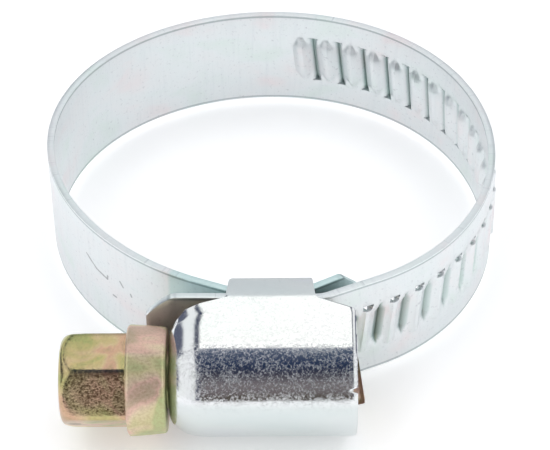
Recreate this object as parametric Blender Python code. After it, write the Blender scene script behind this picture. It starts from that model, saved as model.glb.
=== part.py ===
"""Worm-drive hose clamp: housing, hexagon-head worm screw and a slotted band.

The frame is in metres. Its origin is the centre of the hose bore, halfway up the band. +Z runs along
the bore and +X along the screw, away from its head. The housing lies on the -Y side. The band is cut
into rigid links, which stand in for its bending, and each cut is a hinge about a vertical axis.
"""

from math import asin, atan2, cos, degrees, pi, radians, sin, sqrt, tan

import bmesh
import bpy
from mathutils import Vector

MM = 0.001

# Band
BAND_WIDTH = 9.3 * MM
BAND_THICKNESS = 0.58 * MM
RING_RADIUS = 18.8 * MM  # to the middle of the band's thickness
RING_OVAL = 0.46 * MM  # how much longer the long half axis is
RING_OVAL_ANGLE = radians(-57)
RING_EGG = 0.22 * MM
RING_EGG_ANGLE = radians(49)
LINK_GAP = 0.3 * MM
BEND_RADIUS = 2.2 * MM

# The two layers of band in the housing, to the middle of their thickness
PLAIN_LAYER_Y = -18.8 * MM
TONGUE_BEND_X = 2.7 * MM
TONGUE_SLOPE = radians(30)
TONGUE_LENGTH = 4.6 * MM
PLAIN_EXIT_X = -3.2 * MM
SLOTTED_ENTRY = Vector((3.9 * MM, -19.66 * MM))
TAIL_TIP = Vector((-9.9 * MM, -19.4 * MM))
TAIL_CHAMFER = (2.1 * MM, 1.7 * MM)
TONGUE_CHAMFER = (1.5 * MM, 1.5 * MM)

# Thread and teeth
PITCH = 2.4 * MM
TOOTH_HEIGHT = 0.55 * MM
TOOTH_TOP_HALF = 0.19 * MM
TOOTH_BASE_HALF = 0.65 * MM
TOOTH_HALF_LENGTH = 2.4 * MM
TOOTH_END = 0.5 * MM
TOOTH_SLANT = radians(6.1)
FIRST_POCKET = -3  # counted in pitches from the slotted band's entry into the housing
LAST_POCKET = 22

# Screw
SCREW_Y = -24.05 * MM
HEX_ACROSS_FLATS = 6.8 * MM
HEX_TURN = radians(36)
HEX_CHAMFER = 0.45 * MM
HEAD_END_X = -16.4 * MM
COLLAR_X = -11.2 * MM
COLLAR_END_X = -8.15 * MM
COLLAR_RADIUS = 4.22 * MM
COLLAR_EDGE = 0.3 * MM
NECK_RADIUS = 2.2 * MM
WORM_X = -5.8 * MM
WORM_END_X = 7.1 * MM
WORM_RADIUS = 3.83 * MM
WORM_ROOT_RADIUS = 3.15 * MM
WORM_END_BEVEL = 0.35 * MM
THREAD_CREST_HALF = 0.28 * MM
THREAD_ROOT_HALF = 0.72 * MM
SCREW_SIDES = 36
STATIONS_PER_PITCH = 8

# Housing
SHEET = 0.55 * MM
HUMP_RADIUS = 4.45 * MM
HUMP_LEFT_X = -8.0 * MM
HUMP_RIGHT_X = 6.45 * MM
FOLD_HEIGHT = 5.35 * MM
BASE_Y = -17.8 * MM
FOLD_FRONT_Y = -20.4 * MM
TAB_HALF_WIDTH = 3.35 * MM
BASE_HALF_WIDTH = 2.6 * MM
SHOULDER_Y = -21.45 * MM
NECK_BORE_RADIUS = 2.32 * MM
END_ROUND = 1.9 * MM
INNER_ROUND_SHARE = 0.4  # of the sheet's thickness, by which the inner rounding is smaller
INNER_FOLD_SHARE = 0.2  # of the sheet's thickness, by which the inner fold lies further in
TAB_CORNER = 0.25 * MM
SHOULDER_CORNER = (0.15 * MM, 0.2 * MM)
LEFT_SHOULDER = (  # how far in from the hump's left end, and how far behind the shoulder
    (0.4 * MM, 0),
    (1.8 * MM, 0.55 * MM),
    (3.4 * MM, 0.95 * MM),
)
MOUTH_LENGTH = 2.4 * MM
MOUTH_RISE = 1.3 * MM
MOUTH_STEP = 0.1 * MM
BAND_ROOM = 0.15 * MM
CUTTER_REACH = 14 * MM
CUTTER_HEIGHT = 9 * MM
CUTTER_DEPTH = 30 * MM
CUTTER_SIDES = 40
CUTTER_PHASE = 0.37  # of one side, so that no cutter edge lies on another solid's edge
BORE_SIDES = 30

BAND_COLOUR = (0.74, 0.77, 0.79)
HOUSING_COLOUR = (0.66, 0.68, 0.72)
SCREW_COLOUR = (0.55, 0.45, 0.24)
BAND_ROUGHNESS = 0.32
HOUSING_ROUGHNESS = 0.25
SCREW_ROUGHNESS = 0.35

# Ring angles of the hinges, from the housing's left side round the back to its right side
FIRST_HINGE_ANGLE = 224
HINGE_STEP = 36
RING_HINGES = 8
ENTRY_LINK_PITCHES = 2

# Lengths of the straight pieces that the band's curve is made of
PLAIN_END_STEP = 0.9 * MM
LINK_STEP = 1.6 * MM
DIRECTION_REACH = 0.15 * MM  # half the span over which the line's direction is taken


def clear_scene():
    for obj in list(bpy.data.objects):
        bpy.data.objects.remove(obj, do_unlink=True)


def plated_steel(name, colour, roughness):
    material = bpy.data.materials.new(name)
    material.use_nodes = True
    shader = material.node_tree.nodes["Principled BSDF"]
    shader.inputs["Base Color"].default_value = (*colour, 1)
    shader.inputs["Metallic"].default_value = 1
    shader.inputs["Roughness"].default_value = roughness
    return material


def object_from(name, mesh_data, material):
    bmesh.ops.recalc_face_normals(mesh_data, faces=mesh_data.faces)
    mesh = bpy.data.meshes.new(name)
    mesh_data.to_mesh(mesh)
    mesh_data.free()
    mesh.shade_smooth()
    mesh.set_sharp_from_angle(angle=radians(35))
    obj = bpy.data.objects.new(name, mesh)
    if material:
        mesh.materials.append(material)
    bpy.context.scene.collection.objects.link(obj)
    return obj


def move_origin(obj, point):
    """Puts the object's origin on a joint's axis and leaves its mesh where it is."""
    for vertex in obj.data.vertices:
        vertex.co -= point
    obj.location = point


# ---- the band's middle line, seen from above ----


def ring_point(angle):
    radius = RING_RADIUS + RING_OVAL * cos(2 * (angle - RING_OVAL_ANGLE))
    radius += RING_EGG * cos(3 * (angle - RING_EGG_ANGLE))
    return Vector((radius * cos(angle), radius * sin(angle)))


def touching_angle(corner, side):
    """The ring angle where a straight line from the corner runs into the ring without a kink."""
    start = atan2(corner.y, corner.x)
    low, high = 0.02, 1.2
    for _ in range(40):
        middle = (low + high) / 2
        angle = start + side * middle
        along = ring_point(angle + side * 0.001) - ring_point(angle)
        leaves_outside = (ring_point(angle) - corner).cross(along) * side > 0
        if leaves_outside:
            high = middle
        else:
            low = middle
    return start + side * low


def rounded_corner(before, corner, after, radius, steps=6):
    """The points of an arc that takes the place of a corner."""
    incoming = (corner - before).normalized()
    outgoing = (after - corner).normalized()
    turn = asin(max(-1, min(1, incoming.cross(outgoing))))
    cut = radius * tan(abs(turn) / 2)
    first = corner - incoming * cut
    side = 1 if turn > 0 else -1
    centre = first + Vector((-incoming.y, incoming.x)) * radius * side
    spoke = first - centre
    points = []
    for step in range(steps + 1):
        angle = turn * step / steps
        points.append(
            centre
            + Vector(
                (
                    spoke.x * cos(angle) - spoke.y * sin(angle),
                    spoke.x * sin(angle) + spoke.y * cos(angle),
                )
            )
        )
    return points


class BandLine:
    """The band's middle line from the tongue's tip, through the housing and round to the tail's tip."""

    def __init__(self):
        tongue_corner = Vector((TONGUE_BEND_X, PLAIN_LAYER_Y))
        tongue_way = Vector((cos(TONGUE_SLOPE), sin(TONGUE_SLOPE)))
        tongue_tip = tongue_corner + TONGUE_LENGTH * tongue_way
        plain_exit = Vector((PLAIN_EXIT_X, PLAIN_LAYER_Y))
        left = touching_angle(plain_exit, -1) + 2 * pi
        right = touching_angle(SLOTTED_ENTRY, 1)
        self.points = [tongue_tip]
        self.points += rounded_corner(tongue_tip, tongue_corner, plain_exit, BEND_RADIUS)
        self.points += rounded_corner(tongue_corner, plain_exit, ring_point(left), BEND_RADIUS)
        steps = int(degrees(left - right))
        for step in range(steps + 1):
            self.points.append(ring_point(left + (right - left) * step / steps))
        corner = rounded_corner(ring_point(right), SLOTTED_ENTRY, TAIL_TIP, BEND_RADIUS)
        middle_of_corner = len(self.points) + len(corner) // 2
        self.points += corner
        self.points.append(TAIL_TIP.copy())
        self.lengths = [0.0]
        for before, after in zip(self.points, self.points[1:]):
            self.lengths.append(self.lengths[-1] + (after - before).length)
        self.total = self.lengths[-1]
        self.entry = self.lengths[middle_of_corner]

    def piece_at(self, distance):
        index = 0
        while index < len(self.lengths) - 2 and self.lengths[index + 1] < distance:
            index += 1
        return index

    def at(self, distance):
        """The point that far along the line, and the outward direction there."""
        index = self.piece_at(distance)
        before, after = self.points[index], self.points[index + 1]
        share = (distance - self.lengths[index]) / (after - before).length
        ahead = self.place(min(distance + DIRECTION_REACH, self.total))
        behind = self.place(max(distance - DIRECTION_REACH, 0))
        along = (ahead - behind).normalized()
        return before.lerp(after, share), Vector((-along.y, along.x))

    def place(self, distance):
        index = self.piece_at(distance)
        before, after = self.points[index], self.points[index + 1]
        return before.lerp(after, (distance - self.lengths[index]) / (after - before).length)

    def at_ring_angle(self, angle):
        """How far along the line the ring's point at that angle lies."""
        target = ring_point(angle)
        nearest = min(range(len(self.points)), key=lambda i: (self.points[i] - target).length)
        return self.lengths[nearest]

    def pocket(self, number):
        return self.entry - number * PITCH


# ---- the band's links ----


def tooth_places(line, low, high):
    """The middles of the teeth that lie between two places."""
    places = []
    for number in range(FIRST_POCKET, LAST_POCKET):
        middle = line.pocket(number) - PITCH / 2
        if low < middle < high:
            places.append(middle)
    return sorted(places)


def half_width(line, distance):
    """Half the band's width, which narrows at both tips."""
    full = BAND_WIDTH / 2
    for from_tip, chamfer in (
        (distance, TONGUE_CHAMFER),
        (line.total - distance, TAIL_CHAMFER),
    ):
        if from_tip < chamfer[0]:
            full -= chamfer[1] * (1 - from_tip / chamfer[0])
    return full


def link_columns(line, low, high, step):
    """The places along the line where the link has a cross-section, each with its tooth height."""
    teeth = tooth_places(line, low, high)
    columns = {low: 0, high: 0}
    for tip in (TONGUE_CHAMFER[0], line.total - TAIL_CHAMFER[0]):
        if low < tip < high:
            columns[tip] = 0
    for middle in teeth:
        for side in (-1, 1):
            columns[middle + side * TOOTH_BASE_HALF] = 0
            columns[middle + side * TOOTH_TOP_HALF] = TOOTH_HEIGHT
    clear = PITCH / 2 if teeth else 0
    count = max(1, round((high - low) / step))
    for number in range(1, count):
        place = low + (high - low) * number / count
        near_tooth = any(abs(place - middle) < clear for middle in teeth)
        near_column = any(abs(place - other) < step / 3 for other in columns)
        if not near_tooth and not near_column:
            columns[place] = 0
    return sorted(columns.items())


def cross_stations(width_half, toothed):
    """Heights across the band, each with its share of the tooth's height and of its slant."""
    if not toothed:
        return [(-width_half, 0, 0), (width_half, 0, 0)]
    tooth, flat = TOOTH_HALF_LENGTH, TOOTH_HALF_LENGTH + TOOTH_END
    return [
        (-width_half, 0, 0),
        (-flat, 0, 1),
        (-tooth, 1, 1),
        (tooth, 1, 1),
        (flat, 0, 1),
        (width_half, 0, 0),
    ]


def band_link(name, line, low, high, material, step):
    """One rigid length of the band, as a closed sheet with its teeth pressed outward."""
    toothed = bool(tooth_places(line, low, high))
    columns = link_columns(line, low, high, step)
    body = bmesh.new()
    outer, inner = [], []
    for number, (distance, tooth) in enumerate(columns):
        is_end = number in (0, len(columns) - 1)
        outer_row, inner_row = [], []
        for height, tooth_share, slant_share in cross_stations(half_width(line, distance), toothed):
            slant = 0 if is_end else -height * tan(TOOTH_SLANT) * slant_share
            point, outward = line.at(distance + slant)
            lift = tooth * tooth_share
            for row, offset in ((outer_row, BAND_THICKNESS / 2), (inner_row, -BAND_THICKNESS / 2)):
                place = point + outward * (offset + lift)
                row.append(body.verts.new((place.x, place.y, height)))
        outer.append(outer_row)
        inner.append(inner_row)
    last = len(outer[0]) - 1
    for i in range(len(columns) - 1):
        for j in range(last):
            body.faces.new((outer[i][j], outer[i + 1][j], outer[i + 1][j + 1], outer[i][j + 1]))
            body.faces.new((inner[i][j], inner[i][j + 1], inner[i + 1][j + 1], inner[i + 1][j]))
        for j in (0, last):
            body.faces.new((outer[i][j], inner[i][j], inner[i + 1][j], outer[i + 1][j]))
    for i in (0, len(columns) - 1):
        for j in range(last):
            body.faces.new((outer[i][j], outer[i][j + 1], inner[i][j + 1], inner[i][j]))
    return object_from(name, body, material)


def hinge_places(line):
    """How far along the line each hinge lies. In the slotted half they lie in the pockets."""
    places = []
    for number in range(RING_HINGES):
        angle = radians(FIRST_HINGE_ANGLE - number * HINGE_STEP)
        place = line.at_ring_angle(angle)
        pocket = round((line.entry - place) / PITCH)
        if pocket <= LAST_POCKET:
            place = line.pocket(pocket)
        places.append(place)
    places.append(line.pocket(ENTRY_LINK_PITCHES))
    places.append(line.entry)
    return places


def make_band(line, material):
    places = hinge_places(line)
    fixed_end = band_link("band_plain_end", line, 0, places[0] - LINK_GAP / 2, material, PLAIN_END_STEP)
    links = [fixed_end]
    ends = places[1:] + [line.total + LINK_GAP / 2]
    for number, (hinge, end) in enumerate(zip(places, ends), start=1):
        name = "band_tail" if number == len(places) else f"band_link_{number:02d}"
        low, high = hinge + LINK_GAP / 2, end - LINK_GAP / 2
        link = band_link(name, line, low, high, material, LINK_STEP)
        point, _ = line.at(hinge)
        move_origin(link, Vector((point.x, point.y, 0)))
        links.append(link)
    return links


# ---- the screw ----


def thread_radius(x, angle):
    """The worm's surface: a trapezoidal right-hand thread whose crest meets the band's pockets."""
    turns = (x - SLOTTED_ENTRY.x) / PITCH - angle / (2 * pi)
    off_crest = abs(turns - round(turns)) * PITCH
    if off_crest <= THREAD_CREST_HALF:
        return WORM_RADIUS
    if off_crest >= THREAD_ROOT_HALF:
        return WORM_ROOT_RADIUS
    share = (off_crest - THREAD_CREST_HALF) / (THREAD_ROOT_HALF - THREAD_CREST_HALF)
    return WORM_RADIUS + share * (WORM_ROOT_RADIUS - WORM_RADIUS)


def hex_radius(angle):
    from_face = (angle - HEX_TURN + pi / 6) % (pi / 3) - pi / 6
    return HEX_ACROSS_FLATS / 2 / cos(from_face)


def screw_stations():
    """Places along the screw's axis, each with the radius as a function of the angle round it."""
    end_radius = HEX_ACROSS_FLATS / 2 - HEX_CHAMFER
    cone_radius = HEX_ACROSS_FLATS / 2 + HEX_CHAMFER / 3
    stations = [
        (HEAD_END_X, lambda angle: end_radius),
        (HEAD_END_X + HEX_CHAMFER, lambda angle: min(hex_radius(angle), cone_radius)),
        (HEAD_END_X + 2 * HEX_CHAMFER, hex_radius),
        (COLLAR_X, hex_radius),
        (COLLAR_X, lambda angle: COLLAR_RADIUS - COLLAR_EDGE),
        (COLLAR_X + COLLAR_EDGE, lambda angle: COLLAR_RADIUS),
        (COLLAR_END_X - COLLAR_EDGE, lambda angle: COLLAR_RADIUS),
        (COLLAR_END_X, lambda angle: COLLAR_RADIUS - COLLAR_EDGE),
        (COLLAR_END_X, lambda angle: NECK_RADIUS),
        (WORM_X, lambda angle: NECK_RADIUS),
        (WORM_X, lambda angle: WORM_ROOT_RADIUS),
    ]
    count = round((WORM_END_X - WORM_X) / PITCH * STATIONS_PER_PITCH)
    step = (WORM_END_X - WORM_X) / (count + 1)
    for number in range(1, count + 1):
        x = WORM_X + number * step
        stations.append((x, lambda angle, x=x: thread_radius(x, angle)))
    stations.append((WORM_END_X, lambda angle: WORM_ROOT_RADIUS - WORM_END_BEVEL))
    return stations


def make_screw(material):
    """Head, collar, neck and worm in one turned body, with its origin on the screw's axis."""
    body = bmesh.new()
    rows = []
    for x, radius in screw_stations():
        row = []
        for side in range(SCREW_SIDES):
            angle = HEX_TURN + 2 * pi * side / SCREW_SIDES
            reach = radius(angle)
            row.append(body.verts.new((x, reach * cos(angle), reach * sin(angle))))
        rows.append(row)
    for before, after in zip(rows, rows[1:]):
        for side in range(SCREW_SIDES):
            following = (side + 1) % SCREW_SIDES
            body.faces.new((before[side], before[following], after[following], after[side]))
    body.faces.new(rows[0])
    body.faces.new(rows[-1])
    screw = object_from("screw", body, material)
    screw.location = (0, SCREW_Y, 0)
    return screw


# ---- the housing ----


def strap_outline(inset):
    """The strap's outline seen along the screw: base plate, folds and hump, moved in by inset."""
    top = FOLD_HEIGHT - inset
    hump = HUMP_RADIUS - inset
    fold_y = FOLD_FRONT_Y + inset * INNER_FOLD_SHARE
    away = fold_y - SCREW_Y
    lean = atan2(top, away) - asin(hump / sqrt(top * top + away * away))
    first = pi / 2 + lean
    outline = [(BASE_Y - inset, top), (fold_y, top)]
    arc_steps = 20
    for step in range(arc_steps + 1):
        angle = first + (2 * pi - 2 * first) * step / arc_steps
        outline.append((SCREW_Y + hump * cos(angle), hump * sin(angle)))
    outline += [(y, -z) for y, z in reversed(outline[:2])]
    return outline


def prism_along_x(name, outline, low, high):
    body = bmesh.new()
    ring = [body.verts.new((low, y, z)) for y, z in outline]
    face = body.faces.new(ring)
    pushed = bmesh.ops.extrude_face_region(body, geom=[face])
    moved = [item for item in pushed["geom"] if isinstance(item, bmesh.types.BMVert)]
    bmesh.ops.translate(body, verts=moved, vec=(high - low, 0, 0))
    return cutter_from(name, body)


def prism_along_z(name, outline, low, high):
    body = bmesh.new()
    ring = [body.verts.new((x, y, low)) for x, y in outline]
    face = body.faces.new(ring)
    pushed = bmesh.ops.extrude_face_region(body, geom=[face])
    moved = [item for item in pushed["geom"] if isinstance(item, bmesh.types.BMVert)]
    bmesh.ops.translate(body, verts=moved, vec=(0, 0, high - low))
    return cutter_from(name, body)


def turned_about_screw(name, profile, sides=CUTTER_SIDES):
    body = bmesh.new()
    rows = []
    for x, radius in profile:
        row = []
        for side in range(sides):
            angle = 2 * pi * (side + CUTTER_PHASE) / sides
            row.append(body.verts.new((x, SCREW_Y + radius * cos(angle), radius * sin(angle))))
        rows.append(row)
    for before, after in zip(rows, rows[1:]):
        for side in range(sides):
            following = (side + 1) % sides
            body.faces.new((before[side], before[following], after[following], after[side]))
    body.faces.new(rows[0])
    body.faces.new(rows[-1])
    return cutter_from(name, body)


def cutter_from(name, body):
    cutter = object_from(name, body, None)
    cutter.hide_render = True
    cutter.display_type = "WIRE"
    return cutter


def combine(obj, operation, cutter):
    modifier = obj.modifiers.new(f"{operation.lower()} {cutter.name}", "BOOLEAN")
    modifier.operation = operation
    modifier.object = cutter
    modifier.solver = "EXACT"


def rounded_end(inset):
    """Radius against place for the hump's drawn-in left end."""
    start = HUMP_LEFT_X + inset
    reach = END_ROUND - inset * INNER_ROUND_SHARE
    profile = []
    steps = 5
    for step in range(steps + 1):
        angle = pi / 2 * step / steps
        x = start + reach * (1 - cos(angle))
        radius = HUMP_RADIUS - inset - reach * (1 - sin(angle))
        profile.append((x, radius))
    end_x, end_radius = profile[-1]
    profile.append((end_x + MOUTH_LENGTH, end_radius + MOUTH_RISE))
    profile.append((end_x + MOUTH_LENGTH + MOUTH_STEP, CUTTER_HEIGHT))
    profile.append((CUTTER_REACH, CUTTER_HEIGHT))
    return profile


def plan_outline():
    """The housing's outline seen from above: base and tab, then shoulders out to the hump."""
    right = [
        (TAB_HALF_WIDTH - TAB_CORNER, BASE_Y + 4 * TAB_CORNER),
        (TAB_HALF_WIDTH - TAB_CORNER, BASE_Y - TAB_CORNER),
        (TAB_HALF_WIDTH, FOLD_FRONT_Y),
        (HUMP_RIGHT_X - SHOULDER_CORNER[0], SHOULDER_Y),
        (HUMP_RIGHT_X, SHOULDER_Y - SHOULDER_CORNER[1]),
        (HUMP_RIGHT_X, -CUTTER_DEPTH),
    ]
    left = [(-CUTTER_REACH, -CUTTER_DEPTH), (-CUTTER_REACH, SHOULDER_Y)]
    for along, behind in LEFT_SHOULDER:
        left.append((HUMP_LEFT_X + along, SHOULDER_Y + behind))
    left += [
        (-TAB_HALF_WIDTH - TAB_CORNER / 2, FOLD_FRONT_Y + TAB_CORNER),
        (-TAB_HALF_WIDTH + TAB_CORNER / 2, BASE_Y - TAB_CORNER),
        (-TAB_HALF_WIDTH + TAB_CORNER / 2, BASE_Y + 4 * TAB_CORNER),
    ]
    return right + left


def base_corner(name, side):
    """What is cut from one end of the base plate, between the folds, to let the band turn inward."""
    near, far = side * BASE_HALF_WIDTH, side * 2 * BASE_HALF_WIDTH
    front, behind = BASE_Y - SHEET - BAND_ROOM, BASE_Y + 2 * SHEET
    outline = [(near, behind), (near, front), (far, front), (far, behind)]
    height = BAND_WIDTH / 2 + BAND_ROOM
    return prism_along_z(name, outline, -height, height)


def make_housing(material):
    body = bmesh.new()
    ring = [body.verts.new((HUMP_LEFT_X - 1 * MM, y, z)) for y, z in strap_outline(0)]
    face = body.faces.new(ring)
    pushed = bmesh.ops.extrude_face_region(body, geom=[face])
    moved = [item for item in pushed["geom"] if isinstance(item, bmesh.types.BMVert)]
    bmesh.ops.translate(body, verts=moved, vec=(HUMP_RIGHT_X - HUMP_LEFT_X + 2 * MM, 0, 0))
    housing = object_from("housing", body, material)
    combine(housing, "INTERSECT", turned_about_screw("end_shape", rounded_end(0)))
    combine(housing, "INTERSECT", prism_along_z("plan_shape", plan_outline(), -CUTTER_HEIGHT, CUTTER_HEIGHT))
    cavity = prism_along_x("cavity", strap_outline(SHEET), -CUTTER_REACH, CUTTER_REACH)
    combine(cavity, "INTERSECT", turned_about_screw("cavity_end", rounded_end(SHEET)))
    combine(housing, "DIFFERENCE", cavity)
    window = [
        (BASE_Y - SHEET, FOLD_HEIGHT - SHEET),
        (SHOULDER_Y + 2 * BAND_ROOM, FOLD_HEIGHT - SHEET),
        (SHOULDER_Y + 2 * BAND_ROOM, SHEET - FOLD_HEIGHT),
        (BASE_Y - SHEET, SHEET - FOLD_HEIGHT),
    ]
    combine(housing, "DIFFERENCE", prism_along_x("band_way", window, -CUTTER_REACH, CUTTER_REACH))
    for name, side in (("left_base_corner", -1), ("right_base_corner", 1)):
        combine(housing, "DIFFERENCE", base_corner(name, side))
    bore = [(HUMP_LEFT_X - 1 * MM, NECK_BORE_RADIUS), (HUMP_LEFT_X + 2 * MM, NECK_BORE_RADIUS)]
    combine(housing, "DIFFERENCE", turned_about_screw("neck_bore", bore, BORE_SIDES))
    return housing


def main():
    clear_scene()
    zinc = plated_steel("bright zinc", BAND_COLOUR, BAND_ROUGHNESS)
    housing_zinc = plated_steel("housing zinc", HOUSING_COLOUR, HOUSING_ROUGHNESS)
    yellow = plated_steel("yellow passivation", SCREW_COLOUR, SCREW_ROUGHNESS)
    line = BandLine()
    make_band(line, zinc)
    make_screw(yellow)
    make_housing(housing_zinc)


main()
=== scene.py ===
"""Looks of the worm-drive hose clamp: a fine band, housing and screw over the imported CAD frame."""

from math import asin, atan2, cos, degrees, exp, pi, radians, sin, sqrt, tan

import bmesh
import bpy
from mathutils import Euler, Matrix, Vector


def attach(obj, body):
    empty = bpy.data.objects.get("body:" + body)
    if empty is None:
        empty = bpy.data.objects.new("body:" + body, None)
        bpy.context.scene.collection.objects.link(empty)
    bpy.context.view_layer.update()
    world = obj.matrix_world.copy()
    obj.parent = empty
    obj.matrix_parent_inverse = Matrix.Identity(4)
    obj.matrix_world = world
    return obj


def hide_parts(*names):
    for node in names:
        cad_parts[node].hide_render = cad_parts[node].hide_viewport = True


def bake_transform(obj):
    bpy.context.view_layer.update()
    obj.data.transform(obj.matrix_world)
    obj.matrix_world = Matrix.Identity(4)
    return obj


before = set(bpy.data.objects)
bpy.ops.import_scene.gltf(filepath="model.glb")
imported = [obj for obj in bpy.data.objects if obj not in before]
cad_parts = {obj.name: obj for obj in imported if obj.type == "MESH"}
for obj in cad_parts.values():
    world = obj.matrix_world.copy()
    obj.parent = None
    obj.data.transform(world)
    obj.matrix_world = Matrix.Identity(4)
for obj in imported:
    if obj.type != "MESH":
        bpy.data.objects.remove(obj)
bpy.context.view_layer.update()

MM = 0.001

# ---------------------------------------------------------------- dimensions (as in the CAD source)
BAND_WIDTH = 9.3 * MM
BAND_THICKNESS = 0.58 * MM
RING_RADIUS = 18.8 * MM
RING_OVAL = 0.46 * MM
RING_OVAL_ANGLE = radians(-57)
RING_EGG = 0.22 * MM
RING_EGG_ANGLE = radians(49)
BEND_RADIUS = 2.2 * MM
PLAIN_LAYER_Y = -18.8 * MM
TONGUE_BEND_X = 2.7 * MM
TONGUE_SLOPE = radians(30)
TONGUE_LENGTH = 4.6 * MM
PLAIN_EXIT_X = -3.2 * MM
SLOTTED_ENTRY = Vector((3.9 * MM, -19.66 * MM))
TAIL_TIP = Vector((-9.9 * MM, -19.4 * MM))
PITCH = 2.4 * MM
TOOTH_SLANT = radians(6.1)
FIRST_POCKET = -3
LAST_POCKET = 22
FIRST_HINGE_ANGLE = 224
HINGE_STEP = 36
RING_HINGES = 8
ENTRY_LINK_PITCHES = 2
SCREW_Y = -24.05 * MM
HEX_ACROSS_FLATS = 6.8 * MM
HEX_TURN = radians(36)
HEAD_END_X = -16.4 * MM
COLLAR_X = -11.2 * MM
COLLAR_END_X = -8.15 * MM
COLLAR_RADIUS = 4.22 * MM
COLLAR_TAPER = 0.1 * MM
COLLAR_CROWN = 0.03 * MM
COLLAR_EDGE = 0.28 * MM
NECK_RADIUS = 2.2 * MM
WORM_X = -5.8 * MM
WORM_END_X = 7.1 * MM
WORM_RADIUS = 3.83 * MM
WORM_ROOT_RADIUS = 3.15 * MM
SHEET = 0.55 * MM
HUMP_RADIUS = 4.45 * MM
HUMP_LEFT_X = -8.0 * MM
HUMP_RIGHT_X = 6.45 * MM
FOLD_HEIGHT = 5.35 * MM
BASE_Y = -17.8 * MM
FOLD_FRONT_Y = -20.4 * MM
TOUCH_NEAREST = 0.02
TOUCH_FURTHEST = 1.2
TOUCH_HALVINGS = 40
TOUCH_STEP = 0.001
DIRECTION_REACH = 0.3 * MM


# ---------------------------------------------------------------- the band's middle line


def ring_point(angle):
    """The ring isn't quite round: a clamp keeps a slight oval and egg shape from its bending."""
    radius = RING_RADIUS + RING_OVAL * cos(2 * (angle - RING_OVAL_ANGLE))
    radius += RING_EGG * cos(3 * (angle - RING_EGG_ANGLE))
    return Vector((radius * cos(angle), radius * sin(angle)))


def touching_angle(corner, side):
    """Where a straight line from the corner touches the ring, found by halving."""
    start = atan2(corner.y, corner.x)
    low, high = TOUCH_NEAREST, TOUCH_FURTHEST
    for _ in range(TOUCH_HALVINGS):
        middle = (low + high) / 2
        angle = start + side * middle
        along = ring_point(angle + side * TOUCH_STEP) - ring_point(angle)
        if (ring_point(angle) - corner).cross(along) * side > 0:
            high = middle
        else:
            low = middle
    return start + side * low


def turned(spoke, angle):
    return Vector(
        (
            spoke.x * cos(angle) - spoke.y * sin(angle),
            spoke.x * sin(angle) + spoke.y * cos(angle),
        )
    )


def rounded_corner(before, corner, after, radius, steps=6):
    """Points along the arc that rounds a corner between two straight runs."""
    incoming = (corner - before).normalized()
    outgoing = (after - corner).normalized()
    turn = asin(max(-1, min(1, incoming.cross(outgoing))))
    cut = radius * tan(abs(turn) / 2)
    first = corner - incoming * cut
    side = 1 if turn > 0 else -1
    centre = first + Vector((-incoming.y, incoming.x)) * radius * side
    spoke = first - centre
    return [centre + turned(spoke, turn * step / steps) for step in range(steps + 1)]


class BandLine:
    """The band's middle line from the tongue's tip round to the tail's tip, seen from above."""

    def __init__(self):
        tongue_corner = Vector((TONGUE_BEND_X, PLAIN_LAYER_Y))
        slope = Vector((cos(TONGUE_SLOPE), sin(TONGUE_SLOPE)))
        tongue_tip = tongue_corner + TONGUE_LENGTH * slope
        plain_exit = Vector((PLAIN_EXIT_X, PLAIN_LAYER_Y))
        left = touching_angle(plain_exit, -1) + 2 * pi
        right = touching_angle(SLOTTED_ENTRY, 1)
        self.points = [tongue_tip]
        self.points += rounded_corner(tongue_tip, tongue_corner, plain_exit, BEND_RADIUS)
        self.points += rounded_corner(tongue_corner, plain_exit, ring_point(left), BEND_RADIUS)
        steps = int(degrees(left - right))
        for step in range(steps + 1):
            self.points.append(ring_point(left + (right - left) * step / steps))
        corner = rounded_corner(ring_point(right), SLOTTED_ENTRY, TAIL_TIP, BEND_RADIUS)
        middle_of_corner = len(self.points) + len(corner) // 2
        self.points += corner
        self.points.append(TAIL_TIP.copy())
        self.lengths = [0.0]
        for before, after in zip(self.points, self.points[1:]):
            self.lengths.append(self.lengths[-1] + (after - before).length)
        self.total = self.lengths[-1]
        self.entry = self.lengths[middle_of_corner]

    def place(self, distance):
        index = 0
        while index < len(self.lengths) - 2 and self.lengths[index + 1] < distance:
            index += 1
        before, after = self.points[index], self.points[index + 1]
        return before.lerp(after, (distance - self.lengths[index]) / (after - before).length)

    def at(self, distance):
        """The place and the outward direction at a distance from the tongue's tip."""
        ahead = self.place(min(distance + DIRECTION_REACH, self.total))
        behind = self.place(max(distance - DIRECTION_REACH, 0))
        along = (ahead - behind).normalized()
        return self.place(distance), Vector((-along.y, along.x))

    def at_ring_angle(self, angle):
        target = ring_point(angle)
        nearest = min(range(len(self.points)), key=lambda i: (self.points[i] - target).length)
        return self.lengths[nearest]

    def pocket(self, number):
        return self.entry - number * PITCH


def hinge_places(line):
    """How far along the line each bend lies. In the slotted half the bends lie in the pockets."""
    places = []
    for number in range(RING_HINGES):
        place = line.at_ring_angle(radians(FIRST_HINGE_ANGLE - number * HINGE_STEP))
        pocket = round((line.entry - place) / PITCH)
        if pocket <= LAST_POCKET:
            place = line.pocket(pocket)
        places.append(place)
    places.append(line.pocket(ENTRY_LINK_PITCHES))
    places.append(line.entry)
    return places


# ---------------------------------------------------------------- node material helpers


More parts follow.
